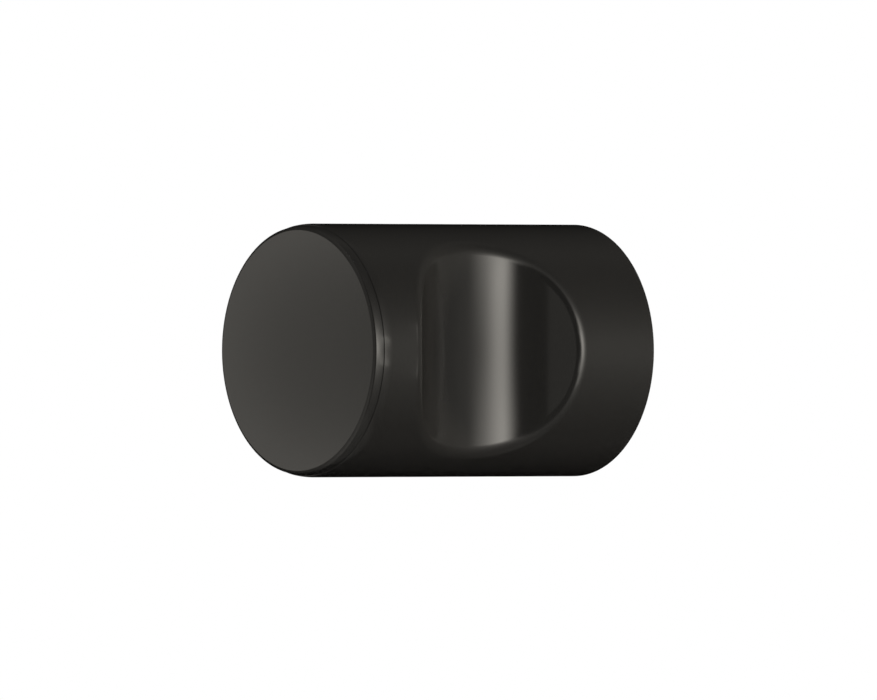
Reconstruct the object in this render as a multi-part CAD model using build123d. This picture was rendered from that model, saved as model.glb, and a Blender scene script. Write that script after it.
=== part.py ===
from build123d import *
import os
from math import sqrt

# Cylindrical cabinet knob with a finger scoop in its side.
# Three pieces: a moulded body, a cap that closes its front and a brass insert that takes the fixing screw.
# Millimetres. The origin is the centre of the mounting face, and +Z is up.
# The knob's axis lies along Y: the mounting face is at Y = 0 and the knob stands out towards -Y.
# The scoop opens towards +X.

# Outer form
KNOB_DIAMETER = 20.0
KNOB_LENGTH = 28.2
CROWN_RADIUS = 4.6        # arc that eases the body's side towards the seam
CROWN_LENGTH = 1.64       # how far behind the front face that arc begins
FACE_EDGE_RADIUS = 0.3    # rounding between the crown and the flat front face
BACK_EDGE_RADIUS = 0.15   # rounding round the mounting face

# Front cap, a little smaller than the body and seated in it by a spigot
CAP_STEP = 0.13           # how much smaller the cap is than the body, all round
CAP_CROWN_RADIUS = 3.6    # arc that eases the cap into the front face
CAP_CROWN_LENGTH = 1.23   # how far behind the front face that arc would begin
SEAM_FROM_FRONT = 0.84    # place of the seam between the cap and the body
CAP_SEAM_CHAMFER = 0.05   # broken edge of the cap at the seam
BODY_SEAM_CHAMFER = 0.08  # broken edge of the body at the seam
SPIGOT_DIAMETER = 15.0
SPIGOT_LENGTH = 2.0
SPIGOT_CHAMFER = 0.3
SPIGOT_CLEARANCE = 0.05   # all round the spigot
SOCKET_RELIEF = 0.2       # room past the spigot's end

# Finger scoop: part of an upright cylinder, cut into the side
SCOOP_RADIUS = 9.5
SCOOP_DEPTH = 4.35
SCOOP_FROM_FRONT = 12.65  # middle of the scoop
SCOOP_LIP_RADIUS = 1.3    # rounding that rolls round the whole lip

# Threaded insert, moulded into the back. The bore is the M4 tapping size.
INSERT_DIAMETER = 6.0
INSERT_LENGTH = 11.0
WAIST_DIAMETER = 5.0      # the plastic grips the insert in this waist
WAIST_LENGTH = 3.0
WAIST_FROM_BACK = 4.0
INSERT_CHAMFER = 0.4
BORE_DIAMETER = 3.3
BORE_DEPTH = 9.0

# Sizes and places worked out from these
CAP_DIAMETER = KNOB_DIAMETER - 2 * CAP_STEP
FRONT_Y = -KNOB_LENGTH
SEAM_Y = FRONT_Y + SEAM_FROM_FRONT
SCOOP_X = KNOB_DIAMETER / 2 - SCOOP_DEPTH + SCOOP_RADIUS
SCOOP_Y = FRONT_Y + SCOOP_FROM_FRONT

# Looking back along the knob's axis from the seam, with local +Z towards the mounting face
SEAM_PLANE = Plane(origin=(0, SEAM_Y, 0), z_dir=(0, 1, 0))
ON_PLANE = (Align.CENTER, Align.CENTER, Align.MIN)


def turned(section):
    """Solid made by turning a flat section, X out and Y along, about the knob's axis."""
    return revolve(section, axis=Axis.Y)


def crowned_form(diameter, crown_radius, crown_length):
    """A plain knob of one diameter: flat front, crowned shoulder and straight side, with no scoop or seam."""
    radius = diameter / 2
    crown_start = (radius, FRONT_Y + crown_length)
    front_radius = radius - crown_radius + sqrt(crown_radius**2 - crown_length**2)
    front_corner = (front_radius, FRONT_Y)
    back_corner = (radius, 0)
    outline = [
        Polyline((0, 0), back_corner, crown_start),
        TangentArc(crown_start, front_corner, tangent=(0, -1)),
        Polyline(front_corner, (0, FRONT_Y), (0, 0)),
    ]
    section = make_face(outline)
    section = fillet(section.vertices().sort_by_distance(front_corner)[0], FACE_EDGE_RADIUS)
    section = fillet(section.vertices().sort_by_distance(back_corner)[0], BACK_EDGE_RADIUS)
    return turned(section)


def make_front_cap():
    """The cap's form in front of the seam, with the spigot that seats it in the body."""
    form = crowned_form(CAP_DIAMETER, CAP_CROWN_RADIUS, CAP_CROWN_LENGTH)
    cap = split(form, bisect_by=SEAM_PLANE, keep=Keep.BOTTOM)
    cap = chamfer(cap.edges().group_by(Axis.Y)[-1], CAP_SEAM_CHAMFER)
    spigot = SEAM_PLANE * Cylinder(SPIGOT_DIAMETER / 2, SPIGOT_LENGTH, align=ON_PLANE)
    spigot = chamfer(spigot.edges().group_by(Axis.Y)[-1], SPIGOT_CHAMFER)
    return cap + spigot


def make_threaded_insert():
    """Brass insert with a blind bore, a waist and a chamfered inner end, flush with the back."""
    outer = INSERT_DIAMETER / 2
    waist = WAIST_DIAMETER / 2
    bore = BORE_DIAMETER / 2
    waist_start = -WAIST_FROM_BACK
    waist_end = waist_start - WAIST_LENGTH
    outline = Polyline(
        (bore, 0),
        (outer, 0),
        (outer, waist_start),
        (waist, waist_start),
        (waist, waist_end),
        (outer, waist_end),
        (outer, -INSERT_LENGTH + INSERT_CHAMFER),
        (outer - INSERT_CHAMFER, -INSERT_LENGTH),
        (0, -INSERT_LENGTH),
        (0, -BORE_DEPTH),
        (bore, -BORE_DEPTH),
        close=True,
    )
    return turned(make_face(outline))


def insert_seat(insert):
    """The insert with its bore filled: the space that it takes up in the body."""
    bore = Plane.XZ * Cylinder(BORE_DIAMETER / 2, BORE_DEPTH, align=ON_PLANE)
    return insert + bore


def cut_scoop(body):
    """Cut the scoop and roll its lip rounding along the edge where the two cylinders cross."""
    right_through = 2 * KNOB_DIAMETER
    cutter = Pos(SCOOP_X, SCOOP_Y, 0) * Cylinder(SCOOP_RADIUS, right_through)
    scooped = body - cutter
    lip = new_edges(body, cutter, combined=scooped)
    return fillet(lip, SCOOP_LIP_RADIUS)


def make_knob_body(insert):
    """The body's form behind the seam, with the cap's socket, the insert's seat and the finger scoop."""
    form = crowned_form(KNOB_DIAMETER, CROWN_RADIUS, CROWN_LENGTH)
    body = split(form, bisect_by=SEAM_PLANE, keep=Keep.TOP)
    body = chamfer(body.edges().group_by(Axis.Y)[0], BODY_SEAM_CHAMFER)
    socket_radius = SPIGOT_DIAMETER / 2 + SPIGOT_CLEARANCE
    body -= SEAM_PLANE * Cylinder(socket_radius, SPIGOT_LENGTH + SOCKET_RELIEF, align=ON_PLANE)
    body = cut_scoop(body)
    return body - insert_seat(insert)


insert = make_threaded_insert()
pieces = {
    "knob_body": make_knob_body(insert),
    "front_cap": make_front_cap(),
    "threaded_insert": insert,
}

os.makedirs("parts", exist_ok=True)
for name, piece in pieces.items():
    export_step(piece, f"parts/{name}.step")
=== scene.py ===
"""Cabinet knob with a finger scoop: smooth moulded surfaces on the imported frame, in a small dark studio."""

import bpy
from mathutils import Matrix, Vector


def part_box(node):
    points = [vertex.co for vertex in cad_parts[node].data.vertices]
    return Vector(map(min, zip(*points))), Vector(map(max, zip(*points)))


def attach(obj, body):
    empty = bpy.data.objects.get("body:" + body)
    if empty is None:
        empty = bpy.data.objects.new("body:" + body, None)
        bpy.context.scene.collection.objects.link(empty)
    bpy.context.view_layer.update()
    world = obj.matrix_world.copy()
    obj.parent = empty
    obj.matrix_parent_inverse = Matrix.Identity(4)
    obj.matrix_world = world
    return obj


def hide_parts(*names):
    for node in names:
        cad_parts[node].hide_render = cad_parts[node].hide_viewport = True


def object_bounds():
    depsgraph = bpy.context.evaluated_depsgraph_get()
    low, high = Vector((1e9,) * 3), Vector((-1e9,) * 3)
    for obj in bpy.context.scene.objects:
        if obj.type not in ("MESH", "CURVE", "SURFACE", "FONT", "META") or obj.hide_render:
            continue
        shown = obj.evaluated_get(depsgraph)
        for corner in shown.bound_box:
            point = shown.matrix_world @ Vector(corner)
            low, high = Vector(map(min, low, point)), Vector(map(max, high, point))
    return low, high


bl_info = {
    "name": "Scooped cabinet knob",
    "version": (1, 0, 0),
    "blender": (4, 5, 0),
    "location": "View3D > Sidebar > Knob",
    "description": "Builds the moulded body, the front cap, the threaded insert and the studio round them",
    "category": "Object",
}

from collections import namedtuple
from functools import reduce
from math import cos, pi, radians, sin, sqrt

import bpy
import numpy as np
from bpy.props import FloatProperty, FloatVectorProperty, IntProperty, PointerProperty
from mathutils import Vector

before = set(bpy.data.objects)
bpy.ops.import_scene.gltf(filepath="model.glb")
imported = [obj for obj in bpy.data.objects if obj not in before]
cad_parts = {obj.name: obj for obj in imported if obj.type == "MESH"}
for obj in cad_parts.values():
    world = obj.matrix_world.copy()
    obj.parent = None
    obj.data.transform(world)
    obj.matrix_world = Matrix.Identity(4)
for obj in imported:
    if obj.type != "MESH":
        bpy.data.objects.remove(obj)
CAD_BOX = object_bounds()
BODY_LOW, BODY_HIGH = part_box("knob_body")
CAP_LOW, CAP_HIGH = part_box("front_cap")
INSERT_LOW, INSERT_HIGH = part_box("threaded_insert")

MIDDLE = (CAD_BOX[0] + CAD_BOX[1]) / 2
RIGHT = Vector((1.0, 0.0, 0.0))
BACK = Vector((0.0, 1.0, 0.0))
UP = Vector((0.0, 0.0, 1.0))
WHITE = (1.0, 1.0, 1.0)

MM = 0.001
WELD = 1e-7                    # points nearer than this are one point
TINY = 1e-12                   # least length that a direction is divided by

# The photograph's frame and the camera's film
PICTURE_WIDTH = 877
FILM_WIDTH = 36.0

# Faces along each stretch of a turned outline, and along the thread
FLAT_STEPS = 2
FACE_STEPS = 12
FACE_EDGE_STEPS = 16
CROWN_STEPS = 14
CAP_SEAM_STEPS = 6
BODY_SEAM_STEPS = 10
BACK_EDGE_STEPS = 8
THREAD_STEPS = 240

# Faces across the side, the lip and the scoop's floor, and how the lip's place is found
SIDE_STEPS = 36
SIDE_CROWDING = 1.5            # power that crowds the side's faces towards the lip
LIP_STEPS = 14
FLOOR_STEPS = 30
HALVINGS = 60
WIDEST_SHARE = 2.0             # where the halving begins, in reaches of the lip

# The thread's section, in shares of half a pitch
ROOT_FLAT = 1 / 8
FLANK_LENGTH = 5 / 8

# Black plastic
PLASTIC_IOR = 1.70
DRIFT_SCALE = 140.0
DRIFT_DETAIL = 3.0
POLISH_DRIFT = 0.012           # how far the roughness drifts each way
TONE_DRIFT = 0.1               # how far the colour drifts each way
GRAIN_SCALE = 4000.0
GRAIN_DETAIL = 2.0
GRAIN_STRENGTH = 0.02
GRAIN_DEPTH = 0.02 * MM

# Turned brass
TARNISH_SCALE = 600.0
TARNISH_DETAIL = 4.0
TARNISH_SHADE = 0.82           # colour of the tarnish as a share of the clean brass
BRASS_SMOOTHER = 0.06          # how far the roughness drifts down and up
BRASS_ROUGHER = 0.08
RING_SCALE = 900.0
RING_WOBBLE = 0.6
RING_STRENGTH = 0.25
RING_DEPTH = 0.01 * MM

# Pale floor
FLOOR_HALF = 0.6
FLOOR_DARK = (0.90, 0.90, 0.89)
FLOOR_LIGHT = (0.93, 0.93, 0.92)
FLOOR_GRAIN_SCALE = 60.0
FLOOR_GRAIN_DETAIL = 2.0
FLOOR_ROUGHNESS = 0.9

# The dim room. A pair says where a fade begins and ends. Facing is 1 at the camera and -1 straight behind
# the knob, height is 1 straight up and -1 straight down, and the panel's edge is 1 at the camera's left.
LAMP_FALL = 2.5                # power by which the lamp's glow falls
FRONT_FACING = (-0.4, 0.5)
FRONT_HEIGHT = (-0.8, 0.8)
FRONT_LOW = 1.35               # share of the front glow low down and high up
FRONT_HIGH = 0.5
PANEL_TURN = radians(4.2)
PANEL_EDGE = (-0.01, 0.01)
PANEL_FACING = (-0.6, 0.2)
PANEL_HEIGHT = (-0.12, -0.36)
PANEL_LOW = 1.6                # share of the panel's glow low down
BACK_FACING = (0.1, -0.5)
BACK_HEIGHT = (-0.5, 0.3)
SIDE_HEIGHT = (0.1, 0.25)
SIDE_RISE = (radians(36), radians(50))
SIDE_FALL = (radians(80), radians(110))
CEILING_HEIGHT = (0.77, 0.86)
GROUND_HEIGHT = (-0.77, -0.86)
DARK_FACING = (-1.0, -0.5)
UNDER_HEIGHT = (-0.05, -0.35)
UNDER_FACING = (-0.2, -0.75)
UNDER_SHADE = 0.4              # share of the light that is taken away low behind
SWEEP_ANGLE = radians(0.75)    # half the angle at which mirrors see the white sweep

# Card before the front face
FACE_CARD_HALF = 26 * MM
FACE_SPOT = 3.0 * MM           # darkest spot, right of the card's middle
FACE_WIDTH = 9.0 * MM
FACE_HEIGHT = 9.5 * MM
FACE_POWER = 1.5
FACE_RISE = 0.83               # how much lighter the card is at the face's border
FACE_RIGHT = (4.2 * MM, 6.4 * MM)
FACE_RIGHT_SHADE = 0.65
FACE_BORDER = (1.5, 2.3)

# Card before the scoop, for the ends of the lamp's reflection
END_CARD_LEAN = radians(8.5)
END_CARD_OUT = 32 * MM
END_CARD_BACK = 13.7 * MM
END_CARD_HALF = (11.5 * MM, 7.8 * MM)
END_HEIGHT = 7.0 * MM
END_RISE = (-7.0 * MM, -1.0 * MM)
END_FALL = (2.0 * MM, 11.5 * MM)

# Card close before the scoop, for the left of the lamp's reflection
FLANK_CARD_OUT = 15 * MM
FLANK_CARD_BACK = 8.5 * MM
FLANK_CARD_HALF = (6.5 * MM, 10 * MM)
FLANK_HEIGHT = 7.0 * MM
FLANK_POWER = 1.2
FLANK_ENDS = (7.4 * MM, 10 * MM)
FLANK_RISE = (-4.2 * MM, -1.7 * MM)
FLANK_FALL = (-0.5 * MM, 6.5 * MM)

# Soft lamps
OVERHEAD_DISTANCE = 0.8
OVERHEAD_SIZE = 0.5
FILL_DISTANCE = 0.5
FILL_SIZE = 0.08

# A patch is a grid of points and the surface's own direction at each of them.
Patch = namedtuple("Patch", "points normals")

# A run is a stretch of a turned outline: distance from the axis, place along it, and the outward direction.
Run = namedtuple("Run", "out along normal_out normal_along")

# A crown is the arc that eases a side into the front: its centre in the outline and its radius.
Crown = namedtuple("Crown", "out along radius")


def length_property(name, description, default):
    """A size in metres, shown as a length."""
    return FloatProperty(name=name, description=description, default=default, unit="LENGTH", precision=5)


class KnobSizes(bpy.types.PropertyGroup):
    """Sizes of the knob's moulded pieces."""

    radius: length_property("Radius", "Half the knob's diameter", BODY_HIGH.x)
    front: length_property("Front", "Place of the front face along Y", CAP_LOW.y)
    crown_radius: length_property("Crown radius", "Arc that eases the side towards the seam", 4.6 * MM)
    crown_length: length_property("Crown length", "Where that arc begins, behind the front", 1.64 * MM)
    cap_radius: length_property("Cap radius", "Half the cap's diameter where its arc would begin", 9.90 * MM)
    cap_crown_radius: length_property("Cap crown radius", "Arc that eases the cap into the front", 3.6 * MM)
    cap_crown_length: length_property("Cap crown length", "Where the cap's arc would begin", 1.23 * MM)
    face_edge: length_property("Face edge", "Rounding between the crown and the front face", 0.3 * MM)
    back_edge: length_property("Back edge", "Rounding round the mounting face", 0.15 * MM)
    seam: length_property("Seam", "Place of the seam along Y", BODY_LOW.y)
    cap_seam_edge: length_property("Cap seam edge", "Rounding of the cap at the seam", 0.03 * MM)
    body_seam_edge: length_property("Body seam edge", "Rounding of the body at the seam", 0.04 * MM)
    spigot_radius: length_property("Spigot radius", "Half the diameter of the cap's spigot", 7.5 * MM)
    spigot_chamfer: length_property("Spigot chamfer", "Bevel at the spigot's end", 0.3 * MM)
    spigot_end: length_property("Spigot end", "Place of the spigot's end along Y", CAP_HIGH.y)
    spigot_clearance: length_property("Spigot clearance", "Room all round the spigot", 0.05 * MM)
    socket_relief: length_property("Socket relief", "Room past the spigot's end", 0.2 * MM)
    scoop_radius: length_property("Scoop radius", "Radius of the upright scoop", 9.5 * MM)
    scoop_depth: length_property("Scoop depth", "Depth of the scoop below the side", 4.35 * MM)
    scoop_middle: length_property("Scoop middle", "Middle of the scoop behind the front", 12.65 * MM)
    lip: length_property("Scoop lip", "Rounding along the scoop's lip", 1.3 * MM)


class InsertSizes(bpy.types.PropertyGroup):
    """Sizes of the threaded insert."""

    radius: length_property("Radius", "Half the insert's diameter", INSERT_HIGH.x)
    length: length_property("Length", "Length of the insert", -INSERT_LOW.y)
    waist_radius: length_property("Waist radius", "Radius of the gripped waist", 2.5 * MM)
    waist_start: length_property("Waist start", "Depth at which the waist begins", 4.0 * MM)
    waist_length: length_property("Waist length", "Length of the waist", 3.0 * MM)
    chamfer: length_property("Chamfer", "Bevel of the inner end", 0.4 * MM)
    bore_radius: length_property("Bore radius", "Radius over the thread's crests", 1.65 * MM)
    bore_depth: length_property("Bore depth", "Depth of the blind bore", 9.0 * MM)
    thread_root: length_property("Thread root", "Radius at the thread's roots", 2.02 * MM)
    thread_pitch: length_property("Thread pitch", "Advance of the thread in one turn", 0.7 * MM)
    thread_depth: length_property("Thread depth", "Depth to which the thread is cut", 7.6 * MM)
    mouth_radius: length_property("Mouth radius", "Radius of the bevelled mouth", 2.12 * MM)


class KnobFinish(bpy.types.PropertyGroup):
    """Colours and gloss of the knob's materials."""

    plastic: FloatVectorProperty(
        name="Plastic", description="Colour of the black plastic", subtype="COLOR", size=3,
        default=(0.0068, 0.0065, 0.0061), min=0.0, max=1.0)
    plastic_roughness: FloatProperty(
        name="Plastic roughness", description="Polish of the moulded surface", default=0.15,
        min=0.0, max=1.0)
    brass: FloatVectorProperty(
        name="Brass", description="Colour of the insert", subtype="COLOR", size=3,
        default=(0.72, 0.50, 0.22), min=0.0, max=1.0)
    brass_roughness: FloatProperty(
        name="Brass roughness", description="Polish of the turned brass", default=0.28, min=0.0, max=1.0)


class StudioSettings(bpy.types.PropertyGroup):
    """Camera and light."""

    azimuth: FloatProperty(
        name="Azimuth", description="Camera's turn about Z from -Y", subtype="ANGLE", default=radians(51.1))
    elevation: FloatProperty(
        name="Elevation", description="Camera's height angle", subtype="ANGLE", default=0.0)
    distance: length_property("Distance", "Camera to the middle of the knob", 1.8)
    pixels_per_mm: FloatProperty(
        name="Pixels per mm", description="Scale of the picture at the knob", default=12.64)
    aim_right: length_property("Aim right", "How far right of the knob's middle the camera aims", 0.135 * MM)
    aim_up: length_property("Aim up", "How far above the knob's middle the camera aims", 0.036 * MM)
    light_colour: FloatVectorProperty(
        name="Light colour", description="Slightly warm studio light", subtype="COLOR", size=3,
        default=(1.0, 0.96, 0.88), min=0.0, max=1.0)
    lamp_turn: FloatProperty(
        name="Lamp turn", description="Hot spot of the lamp, right of the camera", subtype="ANGLE",
        default=radians(39.8))
    lamp_strength: FloatProperty(name="Lamp strength", description="Glow at the hot spot", default=3.34)
    lamp_spread: FloatProperty(
        name="Lamp spread", description="Angle at which the glow has halved", subtype="ANGLE",
        default=radians(13.8))
    lamp_cut: FloatProperty(
        name="Lamp cut", description="Angle over which a flag cuts the lamp towards the camera",
        subtype="ANGLE", default=radians(17.0))
    lamp_height: FloatProperty(
        name="Lamp height", description="Height angle of the hot spot", subtype="ANGLE",
        default=radians(3.0))
    lamp_oval: FloatProperty(
        name="Lamp oval", description="How much faster the glow falls upwards than sideways", default=1.12)
    ceiling_glow: FloatProperty(name="Ceiling glow", description="Light added straight above", default=0.035)
    ground_glow: FloatProperty(name="Ground glow", description="Light added straight below", default=0.09)
    room_glow: FloatProperty(name="Room glow", description="Light from the rest of the room", default=0.055)
    front_glow: FloatProperty(name="Front glow", description="Light added in front", default=0.098)
    back_glow: FloatProperty(name="Back glow", description="Light added behind and above", default=0.030)
    side_glow: FloatProperty(name="Side glow", description="Light added level on the right", default=0.07)
    panel_glow: FloatProperty(name="Panel glow", description="Light added left of the camera", default=0.141)
    card_glow: FloatProperty(name="Card glow", description="Light of the front face's card", default=0.330)
    card_distance: length_property("Card distance", "From the front face to its card", 60 * MM)
    end_glow: FloatProperty(
        name="End glow", description="Light added at the ends of the lamp's reflection", default=0.95)
    flank_glow: FloatProperty(
        name="Flank glow", description="Light added along the left of that reflection", default=0.52)
    floor_lift: FloatProperty(
        name="Floor lift", description="How much lighter the camera sees the floor", default=0.25)
    floor_drop: length_property("Floor drop", "From the knob's axis down to the floor", 0.12)
    overhead_power: FloatProperty(
        name="Overhead power", description="Lamp above the floor", unit="POWER", default=5.4)
    fill_power: FloatProperty(
        name="Fill power", description="Lamp behind the knob on the right", unit="POWER", default=0.15)
    fill_turn: FloatProperty(
        name="Fill turn", description="Place of the fill lamp, right of the camera", subtype="ANGLE",
        default=radians(111.5))
    fill_beam: FloatProperty(
        name="Fill beam", description="Angle of the fill lamp's beam", subtype="ANGLE",
        default=radians(24.0))


def line_run(start, end, steps):
    """Straight stretch of an outline. Its outward side is on the right as it is walked."""
    share = np.linspace(0.0, 1.0, steps + 1)
    out = start[0] + (end[0] - start[0]) * share
    along = start[1] + (end[1] - start[1]) * share
    span = sqrt((end[0] - start[0]) ** 2 + (end[1] - start[1]) ** 2)
    one = np.ones_like(share)
    return Run(out, along, one * (end[1] - start[1]) / span, one * (start[0] - end[0]) / span)


def arc_run(centre, radius, start, end, steps):
    """Rounded stretch of an outline: points at one distance from a centre, facing away from it."""
    turn = np.linspace(start, end, steps + 1)
    out, along = np.cos(turn), np.sin(turn)
    return Run(centre[0] + radius * out, centre[1] + radius * along, out, along)


def path_runs(corners, steps=FLAT_STEPS):
    """Straight runs from each corner of an open outline to the next."""
    return [line_run(a, b, steps) for a, b in zip(corners, corners[1:])]


def round_turn(angle, out, along):
    """Points at a distance out from the Y axis, turned by an angle from +X towards +Z."""
    angle, out, along = np.broadcast_arrays(angle, out, along)
    return np.stack([out * np.cos(angle), along, out * np.sin(angle)], axis=-1)


def turned_patch(run, angles):
    """Surface swept by turning a run about the Y axis through the given angles."""
    points = round_turn(angles[None, :], run.out[:, None], run.along[:, None])
    normals = round_turn(angles[None, :], run.normal_out[:, None], run.normal_along[:, None])
    return Patch(points, normals)


def inward_normals(points):
    """Directions square to a grid of points, from the differences between neighbours, facing the Y axis."""
    across = np.gradient(points, axis=0)
    around = np.gradient(points, axis=1)
    normals = np.cross(across, around)
    normals /= np.maximum(np.linalg.norm(normals, axis=-1, keepdims=True), TINY)
    outward = (normals[..., 0] * points[..., 0] + normals[..., 2] * points[..., 2]).sum() > 0
    return -normals if outward else normals


def patch_quads(rows, columns, first):
    """Corner numbers of every square of a grid whose points are numbered from first."""
    index = first + np.arange(rows * columns).reshape(rows, columns)
    corners = (index[:-1, :-1], index[1:, :-1], index[1:, 1:], index[:-1, 1:])
    return np.stack([corner.ravel() for corner in corners], axis=1)


def mesh_from_patches(name, patches):
    """One closed mesh from patches that share their edges.

    Points that coincide become one. A square with two equal corners becomes a triangle. Each face is turned
    so that it agrees with its patch, and each face corner keeps the patch's own direction for its shading.
    """
    points = np.concatenate([patch.points.reshape(-1, 3) for patch in patches])
    normals = np.concatenate([patch.normals.reshape(-1, 3) for patch in patches])
    starts = np.cumsum([0] + [patch.points[..., 0].size for patch in patches])
    quads = np.concatenate(
        [patch_quads(*patch.points.shape[:2], first) for patch, first in zip(patches, starts)])

    diagonals = points[quads[:, 2]] - points[quads[:, 0]], points[quads[:, 3]] - points[quads[:, 1]]
    facing = np.einsum("ij,ij->i", np.cross(*diagonals), normals[quads].sum(axis=1))
    quads = np.where((facing < 0)[:, None], quads[:, ::-1], quads)

    cells = np.round(points / WELD).astype(np.int64)
    _, kept, welded = np.unique(cells, axis=0, return_index=True, return_inverse=True)
    welded = welded.reshape(-1)
    corner_points = welded[quads]
    repeats = corner_points == np.roll(corner_points, -1, axis=1)
    whole = quads[repeats.sum(axis=1) == 0]
    folded = repeats.sum(axis=1) == 1
    triangles = quads[folded][~repeats[folded]].reshape(-1, 3)

    corners = np.concatenate([whole.ravel(), triangles.ravel()])
    face_starts = np.concatenate(
        [np.arange(len(whole)) * 4, len(whole) * 4 + np.arange(len(triangles)) * 3])
    mesh = bpy.data.meshes.new(name)
    mesh.vertices.add(len(kept))
    mesh.vertices.foreach_set("co", points[kept].ravel())
    mesh.loops.add(len(corners))
    mesh.loops.foreach_set("vertex_index", welded[corners])
    mesh.polygons.add(len(face_starts))
    mesh.polygons.foreach_set("loop_start", face_starts)
    mesh.polygons.foreach_set("use_smooth", np.ones(len(face_starts), bool))
    mesh.update(calc_edges=True)
    mesh.normals_split_custom_set(normals[corners])
    return mesh


def add_piece(name, patches, material, node):
    """Put a closed mesh in the scene in place of its CAD node."""
    mesh = mesh_from_patches(name, patches)
    mesh.materials.append(material)
    piece = bpy.data.objects.new(name, mesh)
    bpy.context.scene.collection.objects.link(piece)
    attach(piece, "root")
    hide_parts(node)


def full_turn(steps):
    """Angles all the way round, with the first repeated at the end."""
    return np.linspace(-pi, pi, steps + 1)


def body_crown(sizes):
    """Arc that eases the body's side towards the seam."""
    return Crown(sizes.radius - sizes.crown_radius, sizes.front + sizes.crown_length, sizes.crown_radius)


def cap_crown(sizes):
    """Arc that eases the cap's rim into the front face."""
    centre_out = sizes.cap_radius - sizes.cap_crown_radius
    return Crown(centre_out, sizes.front + sizes.cap_crown_length, sizes.cap_crown_radius)


def crown_run(crown, start, end):
    """Stretch of a crown between two angles in the outline."""
    return arc_run((crown.out, crown.along), crown.radius, start, end, CROWN_STEPS)


def crown_edge(crown, place, edge, towards_front):
    """Rounding where the crown meets a flat face square to the axis.

    The rounding's centre lies one edge radius inside the face and one inside the crown, so it touches both.
    Returns that centre and the angle at which the crown takes over.
    """
    along = place + (edge if towards_front else -edge)
    reach = crown.radius - edge
    offset = along - crown.along
    out = crown.out + sqrt(reach**2 - offset**2)
    return (out, along), np.arctan2(offset, out - crown.out)


def cap_runs(sizes):
    """Outline of the front cap: face, edge, crown, seam edge, then the land and the spigot behind."""
    crown = cap_crown(sizes)
    front_centre, front_angle = crown_edge(crown, sizes.front, sizes.face_edge, True)
    seam_centre, seam_angle = crown_edge(crown, sizes.seam, sizes.cap_seam_edge, False)
    bevel = sizes.spigot_chamfer
    spigot = [
        (seam_centre[0], sizes.seam),
        (sizes.spigot_radius, sizes.seam),
        (sizes.spigot_radius, sizes.spigot_end - bevel),
        (sizes.spigot_radius - bevel, sizes.spigot_end),
        (0.0, sizes.spigot_end),
    ]
    return [
        line_run((0.0, sizes.front), (front_centre[0], sizes.front), FACE_STEPS),
        arc_run(front_centre, sizes.face_edge, -pi / 2, front_angle, FACE_EDGE_STEPS),
        crown_run(crown, front_angle, seam_angle),
        arc_run(seam_centre, sizes.cap_seam_edge, seam_angle, pi / 2, CAP_SEAM_STEPS),
        *path_runs(spigot),
    ]


def body_front_runs(sizes):
    """Outline of the body's front: the socket, the land that the cap sits on, its edge and the crown."""
    crown = body_crown(sizes)
    centre, angle = crown_edge(crown, sizes.seam, sizes.body_seam_edge, True)
    socket_radius = sizes.spigot_radius + sizes.spigot_clearance
    socket_floor = sizes.spigot_end + sizes.socket_relief
    socket = [
        (0.0, socket_floor),
        (socket_radius, socket_floor),
        (socket_radius, sizes.seam),
        (centre[0], sizes.seam),
    ]
    return [
        *path_runs(socket),
        arc_run(centre, sizes.body_seam_edge, -pi / 2, angle, BODY_SEAM_STEPS),
        crown_run(crown, angle, 0.0),
    ]


def body_back_runs(sizes, insert):
    """Outline of the body's back: its edge, the mounting face and the seat that holds the insert."""
    edge = sizes.back_edge
    waist_end = insert.waist_start + insert.waist_length
    seat = [
        (sizes.radius - edge, 0.0),
        (insert.radius, 0.0),
        (insert.radius, -insert.waist_start),
        (insert.waist_radius, -insert.waist_start),
        (insert.waist_radius, -waist_end),
        (insert.radius, -waist_end),
        (insert.radius, -insert.length + insert.chamfer),
        (insert.radius - insert.chamfer, -insert.length),
        (0.0, -insert.length),
    ]
    return [arc_run((sizes.radius - edge, -edge), edge, 0.0, pi / 2, BACK_EDGE_STEPS), *path_runs(seat)]


def scoop_axis(sizes):
    """Place of the scoop's upright axis: how far out it lies, and where along the knob."""
    return sizes.radius - sizes.scoop_depth + sizes.scoop_radius, sizes.front + sizes.scoop_middle


def lip_reach(sizes):
    """How far the path of lip_centres reaches from the scoop's middle.

    It is an angle about the knob's axis, where the path is in line with the scoop's middle along the knob,
    and a length along the knob, where the path is level with the axis.
    """
    inner = sizes.radius - sizes.lip
    outer = sizes.scoop_radius + sizes.lip
    axis_out, _ = scoop_axis(sizes)
    return np.arccos((axis_out - outer) / inner), sqrt(outer**2 - (axis_out - inner) ** 2)


def lip_centres(sizes, turn):
    """Path of a ball that rolls along the scoop's lip, inside the plastic.

    The ball touches the knob's side and the scoop's wall, so its centre is one lip radius inside the side
    and one outside the scoop's cylinder. For each turn about the scoop's middle, the distance out along that
    turn is found by halving. Returns the angle about the knob's axis and the length along it, both from the
    scoop's middle.
    """
    inner = sizes.radius - sizes.lip
    outer = sizes.scoop_radius + sizes.lip
    axis_out, _ = scoop_axis(sizes)
    reach_angle, reach_along = lip_reach(sizes)
    low = np.zeros_like(turn)
    high = np.full_like(turn, WIDEST_SHARE)
    for _ in range(HALVINGS):
        share = (low + high) / 2
        across = axis_out - inner * np.cos(share * reach_angle * np.cos(turn))
        beyond = across**2 + (share * reach_along * np.sin(turn)) ** 2 > outer**2
        low = np.where(beyond, low, share)
        high = np.where(beyond, share, high)
    return share * reach_angle * np.cos(turn), share * reach_along * np.sin(turn)


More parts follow.
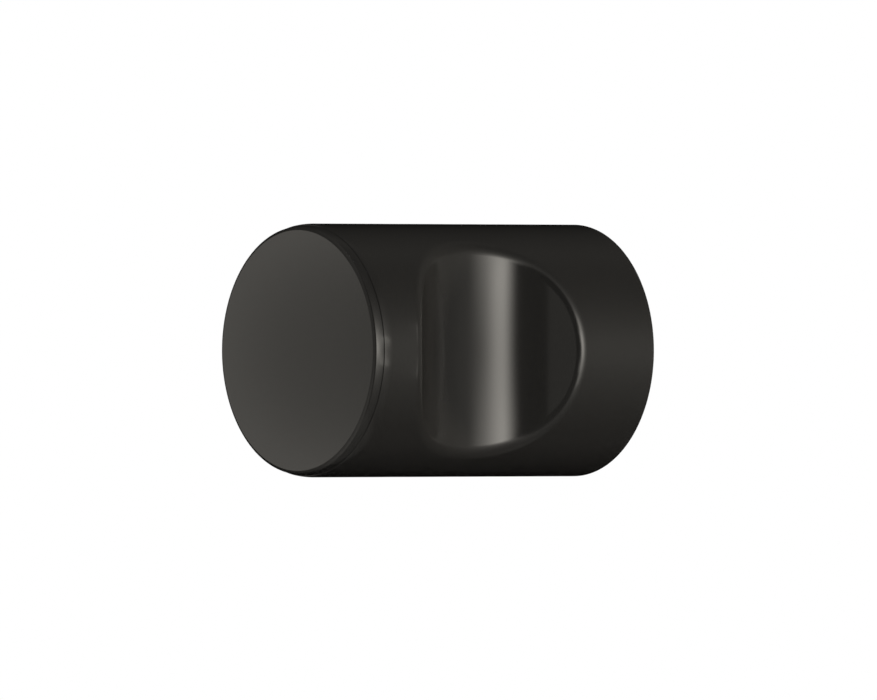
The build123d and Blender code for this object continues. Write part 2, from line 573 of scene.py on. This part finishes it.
def side_border(sizes, round_steps, side_steps):
    """Border of the plain side, unrolled: angle and place along, walked once round its four edges."""
    angles = full_turn(round_steps)
    places = np.linspace(sizes.front + sizes.crown_length, -sizes.back_edge, side_steps + 1)
    angle = np.concatenate([
        angles[:-1], np.full(side_steps, pi), angles[:0:-1], np.full(side_steps + 1, -pi)])
    along = np.concatenate([
        np.full(round_steps, places[0]), places[:-1], np.full(round_steps, places[-1]), places[::-1]])
    return angle, along


def scooped_side(sizes, round_steps, side_steps):
    """The knob's side with the scoop: three patches that share the columns walked round the lip.

    The side runs from the lip's outer touch line to the side's border. The lip turns each ball's direction
    evenly from the side's to the scoop's. The floor runs from the lip's inner touch line to the scoop's
    middle.
    """
    axis_out, axis_along = scoop_axis(sizes)
    border_angle, border_along = side_border(sizes, round_steps, side_steps)
    reach_angle, reach_along = lip_reach(sizes)
    turn = np.arctan2((border_along - axis_along) / reach_along, border_angle / reach_angle)
    angle, along = lip_centres(sizes, turn)
    along = along + axis_along

    share = np.linspace(0.0, 1.0, SIDE_STEPS + 1)[:, None] ** SIDE_CROWDING
    side_angle = angle + (border_angle - angle) * share
    side_along = along + (border_along - along) * share
    side = Patch(round_turn(side_angle, sizes.radius, side_along), round_turn(side_angle, 1.0, 0.0))

    centre = round_turn(angle, sizes.radius - sizes.lip, along)
    to_side = round_turn(angle, 1.0, 0.0)
    to_scoop = np.stack([axis_out - centre[:, 0], axis_along - along, np.zeros_like(along)], axis=1)
    to_scoop /= np.linalg.norm(to_scoop, axis=1, keepdims=True)
    bend = np.arccos(np.einsum("ij,ij->i", to_side, to_scoop))[None, :, None]
    part = np.linspace(0.0, 1.0, LIP_STEPS + 1)[:, None, None]
    lip_normals = (np.sin((1 - part) * bend) * to_side + np.sin(part * bend) * to_scoop) / np.sin(bend)
    lip = Patch(centre + sizes.lip * lip_normals, lip_normals)

    share = np.linspace(0.0, 1.0, FLOOR_STEPS + 1)[:, None]
    floor_turn = np.arctan2(-to_scoop[:, 1], to_scoop[:, 0]) * share
    height = centre[:, 2] * share
    floor_points = np.stack([
        axis_out - sizes.scoop_radius * np.cos(floor_turn),
        axis_along + sizes.scoop_radius * np.sin(floor_turn),
        height], axis=-1)
    floor_normals = np.stack([np.cos(floor_turn), -np.sin(floor_turn), np.zeros_like(height)], axis=-1)
    return [side, lip, Patch(floor_points, floor_normals)]


def thread_patch(insert, angles):
    """Threaded wall of the bore, seen from inside.

    The radius falls from root to crest along flanks that advance one pitch in a turn. The thread fades out
    over its last pitch, and a bevel opens the mouth.
    """
    depth = np.linspace(0.0, insert.bore_depth, THREAD_STEPS + 1)[:, None]
    phase = (depth / insert.thread_pitch + angles[None, :] / (2 * pi)) % 1.0
    flank = np.clip((np.abs(2 * phase - 1) - ROOT_FLAT) / FLANK_LENGTH, 0.0, 1.0)
    fade = np.clip((insert.thread_depth - depth) / insert.thread_pitch, 0.0, 1.0)
    cut = (insert.thread_root - insert.bore_radius) * (1 - flank) * fade
    radius = np.maximum(insert.bore_radius + cut, insert.mouth_radius - depth)
    points = round_turn(angles[None, :], radius, -depth)
    return Patch(points, inward_normals(points))


def insert_runs(insert):
    """Outline of the insert apart from its threaded wall."""
    waist_end = insert.waist_start + insert.waist_length
    outside = [
        (0.0, -insert.length),
        (insert.radius - insert.chamfer, -insert.length),
        (insert.radius, -insert.length + insert.chamfer),
        (insert.radius, -waist_end),
        (insert.waist_radius, -waist_end),
        (insert.waist_radius, -insert.waist_start),
        (insert.radius, -insert.waist_start),
        (insert.radius, 0.0),
        (insert.mouth_radius, 0.0),
    ]
    bottom = [(insert.bore_radius, -insert.bore_depth), (0.0, -insert.bore_depth)]
    return path_runs(outside) + path_runs(bottom)


def opaque(colour, share=1.0):
    """Colour with its alpha, or a share of it."""
    return (*[share * part for part in colour], 1.0)


class NodeSums:
    """Short ways to write the sums of a node tree."""

    def __init__(self, tree):
        self.tree = tree

    def make(self, kind, **settings):
        """Add a node with some of its settings."""
        node = self.tree.nodes.new(kind)
        for key, value in settings.items():
            setattr(node, key, value)
        return node

    def wire(self, value, socket):
        """Set a socket to a number, a vector or a colour, or link another node to it."""
        if isinstance(value, bpy.types.NodeSocket):
            self.tree.links.new(value, socket)
        else:
            socket.default_value = value

    def math(self, operation, first, second=0.0):
        """One operation on one or two values."""
        node = self.make("ShaderNodeMath", operation=operation)
        self.wire(first, node.inputs[0])
        self.wire(second, node.inputs[1])
        return node.outputs["Value"]

    def add(self, *values):
        """Sum of the values."""
        return reduce(lambda first, second: self.math("ADD", first, second), values)

    def times(self, *values):
        """Product of the values."""
        return reduce(lambda first, second: self.math("MULTIPLY", first, second), values)

    def dot(self, vector, direction):
        """How far a vector reaches along a direction."""
        node = self.make("ShaderNodeVectorMath", operation="DOT_PRODUCT")
        self.wire(vector, node.inputs[0])
        self.wire(direction, node.inputs[1])
        return node.outputs["Value"]

    def ease(self, value, start, end, low=0.0, high=1.0, kind="SMOOTHSTEP"):
        """Go from low to high while the value goes from start to end."""
        node = self.make("ShaderNodeMapRange", interpolation_type=kind)
        sockets = {"Value": value, "From Min": start, "From Max": end, "To Min": low, "To Max": high}
        for key, number in sockets.items():
            self.wire(number, node.inputs[key])
        return node.outputs["Result"]

    def place(self):
        """Coordinates of the piece itself."""
        return self.make("ShaderNodeTexCoord").outputs["Object"]

    def noise(self, where, scale, detail):
        """Soft noise on the given coordinates."""
        node = self.make("ShaderNodeTexNoise")
        self.wire(where, node.inputs["Vector"])
        self.wire(scale, node.inputs["Scale"])
        self.wire(detail, node.inputs["Detail"])
        return node.outputs["Fac"]

    def tone(self, share, first, second):
        """Colour that goes from the first to the second with a share."""
        node = self.make("ShaderNodeMix", data_type="RGBA")
        self.wire(share, node.inputs["Factor"])
        self.wire(first, node.inputs["A"])
        self.wire(second, node.inputs["B"])
        return node.outputs["Result"]

    def bump(self, height, strength, depth):
        """Surface direction, tilted by a height."""
        node = self.make("ShaderNodeBump")
        self.wire(height, node.inputs["Height"])
        self.wire(strength, node.inputs["Strength"])
        self.wire(depth, node.inputs["Distance"])
        return node.outputs["Normal"]

    def background(self, colour, strength):
        """Light of a world."""
        node = self.make("ShaderNodeBackground")
        self.wire(opaque(colour), node.inputs["Color"])
        self.wire(strength, node.inputs["Strength"])
        return node.outputs["Background"]


def new_material(name):
    """Material with a Principled shader, and the sums of its node tree."""
    material = bpy.data.materials.new(name)
    material.use_nodes = True
    shader = material.node_tree.nodes["Principled BSDF"]
    return material, shader, NodeSums(material.node_tree)


def moulded_plastic(name, finish):
    """Black moulded plastic: an even dark colour, a slow drift in polish and a very fine grain."""
    material, shader, sums = new_material(name)
    shader.inputs["IOR"].default_value = PLASTIC_IOR
    where = sums.place()
    drift = sums.noise(where, DRIFT_SCALE, DRIFT_DETAIL)
    smoother = finish.plastic_roughness - POLISH_DRIFT
    rougher = finish.plastic_roughness + POLISH_DRIFT
    sums.wire(sums.ease(drift, 0.0, 1.0, smoother, rougher, "LINEAR"), shader.inputs["Roughness"])
    darker = opaque(finish.plastic, 1 - TONE_DRIFT)
    lighter = opaque(finish.plastic, 1 + TONE_DRIFT)
    sums.wire(sums.tone(drift, darker, lighter), shader.inputs["Base Color"])
    grain = sums.noise(where, GRAIN_SCALE, GRAIN_DETAIL)
    sums.wire(sums.bump(grain, GRAIN_STRENGTH, GRAIN_DEPTH), shader.inputs["Normal"])
    return material


def turned_brass(finish):
    """Turned brass: rings left by the tool round the axis, and a slightly uneven tarnish."""
    material, shader, sums = new_material("turned_brass")
    shader.inputs["Metallic"].default_value = 1.0
    where = sums.place()
    tarnish = sums.noise(where, TARNISH_SCALE, TARNISH_DETAIL)
    tarnished = opaque(finish.brass, TARNISH_SHADE)
    sums.wire(sums.tone(tarnish, tarnished, opaque(finish.brass)), shader.inputs["Base Color"])
    smoother = finish.brass_roughness - BRASS_SMOOTHER
    rougher = finish.brass_roughness + BRASS_ROUGHER
    sums.wire(sums.ease(tarnish, 0.0, 1.0, smoother, rougher, "LINEAR"), shader.inputs["Roughness"])
    rings = sums.make("ShaderNodeTexWave", wave_type="RINGS", rings_direction="Y")
    sums.wire(where, rings.inputs["Vector"])
    sums.wire(RING_SCALE, rings.inputs["Scale"])
    sums.wire(RING_WOBBLE, rings.inputs["Distortion"])
    sums.wire(sums.bump(rings.outputs["Fac"], RING_STRENGTH, RING_DEPTH), shader.inputs["Normal"])
    return material


def view_direction(turn, elevation=0.0):
    """Direction from the knob at a turn about Z from -Y towards +X, and a height angle."""
    return Vector((sin(turn) * cos(elevation), -cos(turn) * cos(elevation), sin(elevation)))


class KNOB_OT_body(bpy.types.Operator):
    """Moulded body with its finger scoop"""

    bl_idname = "knob.body"
    bl_label = "Moulded body"

    round_steps: IntProperty(name="Round steps", description="Faces round the knob", default=240)
    side_steps: IntProperty(name="Side steps", description="Faces along the knob's far side", default=60)

    def execute(self, context):
        sizes = context.scene.knob_sizes
        angles = full_turn(self.round_steps)
        runs = body_front_runs(sizes) + body_back_runs(sizes, context.scene.insert_sizes)
        patches = scooped_side(sizes, self.round_steps, self.side_steps)
        patches += [turned_patch(run, angles) for run in runs]
        plastic = moulded_plastic("black_plastic", context.scene.knob_finish)
        add_piece("moulded_body", patches, plastic, "knob_body")
        return {"FINISHED"}


class KNOB_OT_front_cap(bpy.types.Operator):
    """Cap with the flat front face and the crowned rim"""

    bl_idname = "knob.front_cap"
    bl_label = "Front cap"

    round_steps: IntProperty(name="Round steps", description="Faces round the cap", default=240)

    def execute(self, context):
        angles = full_turn(self.round_steps)
        patches = [turned_patch(run, angles) for run in cap_runs(context.scene.knob_sizes)]
        plastic = moulded_plastic("black_cap", context.scene.knob_finish)
        add_piece("crowned_cap", patches, plastic, "front_cap")
        return {"FINISHED"}


class KNOB_OT_threaded_insert(bpy.types.Operator):
    """Brass insert with a cut thread"""

    bl_idname = "knob.threaded_insert"
    bl_label = "Threaded insert"

    round_steps: IntProperty(name="Round steps", description="Faces round the insert", default=120)

    def execute(self, context):
        insert = context.scene.insert_sizes
        angles = full_turn(self.round_steps)
        patches = [turned_patch(run, angles) for run in insert_runs(insert)]
        patches.append(thread_patch(insert, angles))
        brass = turned_brass(context.scene.knob_finish)
        add_piece("brass_insert", patches, brass, "threaded_insert")
        return {"FINISHED"}


def add_camera(studio):
    """Long lens at the photograph's angle, aimed a little beside the knob's middle."""
    towards = view_direction(studio.azimuth, studio.elevation)
    right = view_direction(studio.azimuth + pi / 2)
    aim = MIDDLE + right * studio.aim_right + UP * studio.aim_up
    data = bpy.data.cameras.new("camera")
    data.sensor_fit = "HORIZONTAL"
    data.sensor_width = FILM_WIDTH
    data.lens = studio.pixels_per_mm / MM * studio.distance / PICTURE_WIDTH * FILM_WIDTH
    camera = bpy.data.objects.new("camera", data)
    camera.location = aim + towards * studio.distance
    camera.rotation_euler = towards.to_track_quat("Z", "Y").to_euler()
    bpy.context.scene.collection.objects.link(camera)
    bpy.context.scene.camera = camera


def lamp_light(studio, sums, look, height):
    """Glow of the one lamp, and the angle past it to the right.

    The glow is the lamp's strength divided by one plus a power of the angle off its hot spot over its
    spread. The angle off is the root of the sum of the squares of the angles past the lamp and over it. The
    second counts a little more, so the glow is oval. A flag cuts it off on the camera's side.
    """
    lamp = studio.azimuth + studio.lamp_turn
    rightward = sums.dot(look, view_direction(lamp + pi / 2))
    past = sums.math("ARCTAN2", rightward, sums.dot(look, view_direction(lamp)))
    over = sums.math("SUBTRACT", sums.math("ARCSINE", height), studio.lamp_height)
    over = sums.times(over, studio.lamp_oval)
    off = sums.math("SQRT", sums.add(sums.times(past, past), sums.times(over, over)))
    off = sums.math("DIVIDE", off, studio.lamp_spread)
    glow = sums.math("DIVIDE", studio.lamp_strength, sums.add(sums.math("POWER", off, LAMP_FALL), 1.0))
    return sums.times(glow, sums.ease(past, -studio.lamp_cut, 0.0)), past


def room_light(studio, sums, look, facing):
    """Light that comes from each direction of the dim room.

    To the lamp it adds a glow in front and a panel left of the camera, both stronger low down, a glow behind
    and above, one that is level on the right, one straight above, one straight below and an even rest. All
    of it fades out straight behind the knob, and a part of it low behind.
    """
    times, ease = sums.times, sums.ease
    height = sums.dot(look, UP)
    lamp, past = lamp_light(studio, sums, look, height)
    front = times(
        ease(facing, *FRONT_FACING, 0.0, studio.front_glow),
        ease(height, *FRONT_HEIGHT, FRONT_LOW, FRONT_HIGH))
    leftward = sums.dot(look, view_direction(studio.azimuth - PANEL_TURN - pi / 2))
    panel = times(
        ease(leftward, *PANEL_EDGE, 0.0, studio.panel_glow),
        ease(facing, *PANEL_FACING),
        ease(height, *PANEL_HEIGHT, 1.0, PANEL_LOW))
    behind = times(ease(facing, *BACK_FACING, 0.0, studio.back_glow), ease(height, *BACK_HEIGHT))
    side = times(
        ease(sums.math("ABSOLUTE", height), *SIDE_HEIGHT, studio.side_glow, 0.0),
        ease(past, *SIDE_RISE),
        ease(past, *SIDE_FALL, 1.0, 0.0))
    above = ease(height, *CEILING_HEIGHT, 0.0, studio.ceiling_glow)
    below = ease(height, *GROUND_HEIGHT, 0.0, studio.ground_glow)
    light = sums.add(lamp, front, panel, behind, side, above, below, studio.room_glow)
    under = times(ease(height, *UNDER_HEIGHT), ease(facing, *UNDER_FACING, 0.0, UNDER_SHADE))
    return times(light, ease(facing, *DARK_FACING, kind="LINEAR"), sums.math("SUBTRACT", 1.0, under))


def add_world(studio):
    """Dim room that the knob mirrors, and a white background.

    The camera sees plain white. So does a mirror that looks straight away from the camera, where the white
    sweep stands.
    """
    world = bpy.data.worlds.new("studio")
    world.use_nodes = True
    world.node_tree.nodes.clear()
    sums = NodeSums(world.node_tree)
    look = sums.make("ShaderNodeTexCoord").outputs["Generated"]
    facing = sums.dot(look, view_direction(studio.azimuth))
    room = sums.background(studio.light_colour, room_light(studio, sums, look, facing))
    path = sums.make("ShaderNodeLightPath").outputs
    sweep = sums.math("LESS_THAN", facing, -cos(SWEEP_ANGLE))
    shows = sums.times(path["Is Glossy Ray"], sweep)
    shows = sums.math("MAXIMUM", shows, path["Is Camera Ray"])
    shows = sums.math("MAXIMUM", shows, path["Is Transmission Ray"])
    mix = sums.make("ShaderNodeMixShader")
    sums.wire(shows, mix.inputs["Fac"])
    sums.wire(room, mix.inputs[1])
    sums.wire(sums.background(WHITE, 1.0), mix.inputs[2])
    sums.wire(mix.outputs["Shader"], sums.make("ShaderNodeOutputWorld").inputs["Surface"])
    bpy.context.scene.world = world


def stage_plane(name, centre, across, upward, half_width, half_height):
    """Flat stage piece about a centre, spanned by two directions."""
    corners = [centre + across * (a * half_width) + upward * (b * half_height)
               for a, b in ((-1, -1), (1, -1), (1, 1), (-1, 1))]
    mesh = bpy.data.meshes.new(name)
    mesh.from_pydata(corners, [], [(0, 1, 2, 3)])
    plane = bpy.data.objects.new(name, mesh)
    bpy.context.scene.collection.objects.link(plane)
    return plane


def start_card(name, centre, across, upward, half_width, half_height):
    """Stage card that only mirrors see, with the sums for its glow.

    Returns the sums and, for each point of the card, how far it lies beside the centre and above it.
    """
    card = stage_plane(name, centre, across, upward, half_width, half_height)
    card.visible_camera = False
    card.visible_shadow = False
    card.visible_diffuse = False
    material = bpy.data.materials.new(name)
    material.use_nodes = True
    material.node_tree.nodes.clear()
    card.data.materials.append(material)
    sums = NodeSums(material.node_tree)
    where = sums.place()
    beside = sums.math("SUBTRACT", sums.dot(where, across), centre.dot(across))
    above = sums.math("SUBTRACT", sums.dot(where, upward), centre.dot(upward))
    return sums, beside, above


def finish_card(sums, glow, colour):
    """Let a card glow. The card is clear, so its glow is added to what is behind it."""
    light = sums.make("ShaderNodeEmission")
    sums.wire(opaque(colour), light.inputs["Color"])
    sums.wire(glow, light.inputs["Strength"])
    both = sums.make("ShaderNodeAddShader")
    sums.wire(light.outputs["Emission"], both.inputs[0])
    sums.wire(sums.make("ShaderNodeBsdfTransparent").outputs["BSDF"], both.inputs[1])
    sums.wire(both.outputs["Shader"], sums.make("ShaderNodeOutputMaterial").inputs["Surface"])


def add_face_card(studio, sizes):
    """Bounce card that the front face mirrors, lighter towards its left, top and bottom.

    It stands square to the face's mirrored view. Its glow rises with a power of the distance from a spot
    right of its middle, measured in the face's own width and height. It is darker at its right and ends past
    the face's border.
    """
    towards = view_direction(-studio.azimuth)
    across = view_direction(pi / 2 - studio.azimuth)
    centre = Vector((0.0, sizes.front, 0.0)) + towards * studio.card_distance
    sums, beside, above = start_card("bounce_card", centre, across, UP, FACE_CARD_HALF, FACE_CARD_HALF)
    side = sums.math("DIVIDE", sums.math("SUBTRACT", beside, FACE_SPOT), FACE_WIDTH)
    rise = sums.math("DIVIDE", above, FACE_HEIGHT)
    reach = sums.add(sums.times(side, side), sums.times(rise, rise))
    growth = sums.times(sums.math("POWER", reach, FACE_POWER), FACE_RISE)
    glow = sums.times(
        sums.add(growth, 1.0),
        studio.card_glow,
        sums.ease(beside, *FACE_RIGHT, 1.0, FACE_RIGHT_SHADE),
        sums.ease(reach, *FACE_BORDER, 1.0, 0.0))
    finish_card(sums, glow, studio.light_colour)


def add_scoop_card(studio, sizes):
    """Card before the scoop that lightens the ends of the lamp's reflection in it.

    Its glow grows with the square of the height above or below its centre, and falls off to its sides.
    """
    upward = Vector((0.0, sin(END_CARD_LEAN), cos(END_CARD_LEAN)))
    across = Vector((0.0, cos(END_CARD_LEAN), -sin(END_CARD_LEAN)))
    centre = Vector((sizes.radius + END_CARD_OUT, sizes.front + END_CARD_BACK, 0.0))
    sums, beside, above = start_card("scoop_card", centre, across, upward, *END_CARD_HALF)
    rise = sums.math("DIVIDE", above, END_HEIGHT)
    glow = sums.times(
        rise,
        rise,
        studio.end_glow,
        sums.ease(beside, *END_RISE),
        sums.ease(beside, *END_FALL, 1.0, 0.0))
    finish_card(sums, glow, studio.light_colour)


def add_flank_card(studio, sizes):
    """Card close before the scoop that widens the lamp's reflection towards its ends.

    Its glow grows with a power of the height above or below its centre, and falls off to its sides and ends.
    """
    middle = sizes.front + sizes.scoop_middle
    centre = Vector((sizes.radius + FLANK_CARD_OUT, middle + FLANK_CARD_BACK, 0.0))
    sums, beside, above = start_card("flank_card", centre, BACK, UP, *FLANK_CARD_HALF)
    away = sums.math("ABSOLUTE", above)
    glow = sums.times(
        sums.math("POWER", sums.math("DIVIDE", away, FLANK_HEIGHT), FLANK_POWER),
        sums.ease(away, *FLANK_ENDS, studio.flank_glow, 0.0),
        sums.ease(beside, *FLANK_RISE),
        sums.ease(beside, *FLANK_FALL, 1.0, 0.0))
    finish_card(sums, glow, studio.light_colour)


def add_floor(studio):
    """Pale floor below the knob, a little lighter for the camera alone. Mirrors don't see it."""
    floor = stage_plane("floor", MIDDLE - UP * studio.floor_drop, RIGHT, BACK, FLOOR_HALF, FLOOR_HALF)
    floor.visible_glossy = False
    material, shader, sums = new_material("pale_floor")
    grain = sums.noise(sums.place(), FLOOR_GRAIN_SCALE, FLOOR_GRAIN_DETAIL)
    sums.wire(sums.tone(grain, opaque(FLOOR_DARK), opaque(FLOOR_LIGHT)), shader.inputs["Base Color"])
    shader.inputs["Roughness"].default_value = FLOOR_ROUGHNESS
    shader.inputs["Specular IOR Level"].default_value = 0.0
    shader.inputs["Emission Color"].default_value = opaque(WHITE)
    seen = sums.make("ShaderNodeLightPath").outputs["Is Camera Ray"]
    sums.wire(sums.times(seen, studio.floor_lift), shader.inputs["Emission Strength"])
    floor.data.materials.append(material)


def add_soft_lamp(name, towards, distance, size, power, colour, beam=pi):
    """Round lamp aimed at the knob's middle that leaves no highlight on it."""
    data = bpy.data.lights.new(name, "AREA")
    data.shape = "DISK"
    data.size = size
    data.energy = power
    data.spread = beam
    data.color = colour
    lamp = bpy.data.objects.new(name, data)
    lamp.location = MIDDLE + towards * distance
    lamp.rotation_euler = towards.to_track_quat("Z", "Y").to_euler()
    lamp.visible_glossy = False
    bpy.context.scene.collection.objects.link(lamp)


class KNOB_OT_stage(bpy.types.Operator):
    """Camera, floor, cards and light"""

    bl_idname = "knob.stage"
    bl_label = "Stage"

    def execute(self, context):
        studio = context.scene.studio_settings
        add_camera(studio)
        add_world(studio)
        for add_card in (add_face_card, add_scoop_card, add_flank_card):
            add_card(studio, context.scene.knob_sizes)
        add_floor(studio)
        add_soft_lamp("overhead", UP, OVERHEAD_DISTANCE, OVERHEAD_SIZE, studio.overhead_power, WHITE)
        fill_side = view_direction(studio.azimuth + studio.fill_turn)
        add_soft_lamp(
            "fill", fill_side, FILL_DISTANCE, FILL_SIZE,
            studio.fill_power, studio.light_colour, studio.fill_beam)
        context.scene.view_settings.view_transform = "Standard"
        return {"FINISHED"}


class KNOB_PT_sidebar(bpy.types.Panel):
    """Lists the knob's pieces and its stage"""

    bl_idname = "KNOB_PT_sidebar"
    bl_label = "Cabinet knob"
    bl_space_type = "VIEW_3D"
    bl_region_type = "UI"
    bl_category = "Knob"

    def draw(self, context):
        for operator in OPERATORS:
            self.layout.operator(operator.bl_idname)


GROUPS = {
    "knob_sizes": KnobSizes,
    "insert_sizes": InsertSizes,
    "knob_finish": KnobFinish,
    "studio_settings": StudioSettings,
}
OPERATORS = (KNOB_OT_body, KNOB_OT_front_cap, KNOB_OT_threaded_insert, KNOB_OT_stage)


def register():
    """Register the classes and hang the groups of settings on the scene."""
    for kind in (*GROUPS.values(), *OPERATORS, KNOB_PT_sidebar):
        bpy.utils.register_class(kind)
    for name, group in GROUPS.items():
        setattr(bpy.types.Scene, name, PointerProperty(type=group))


def unregister():
    """Take the groups off the scene and unregister the classes."""
    for name in GROUPS:
        delattr(bpy.types.Scene, name)
    for kind in (KNOB_PT_sidebar, *reversed(OPERATORS), *reversed(GROUPS.values())):
        bpy.utils.unregister_class(kind)


def main():
    """Build every piece and the stage."""
    register()
    bpy.ops.knob.body()
    bpy.ops.knob.front_cap()
    bpy.ops.knob.threaded_insert()
    bpy.ops.knob.stage()


if __name__ == "__main__":
    main()
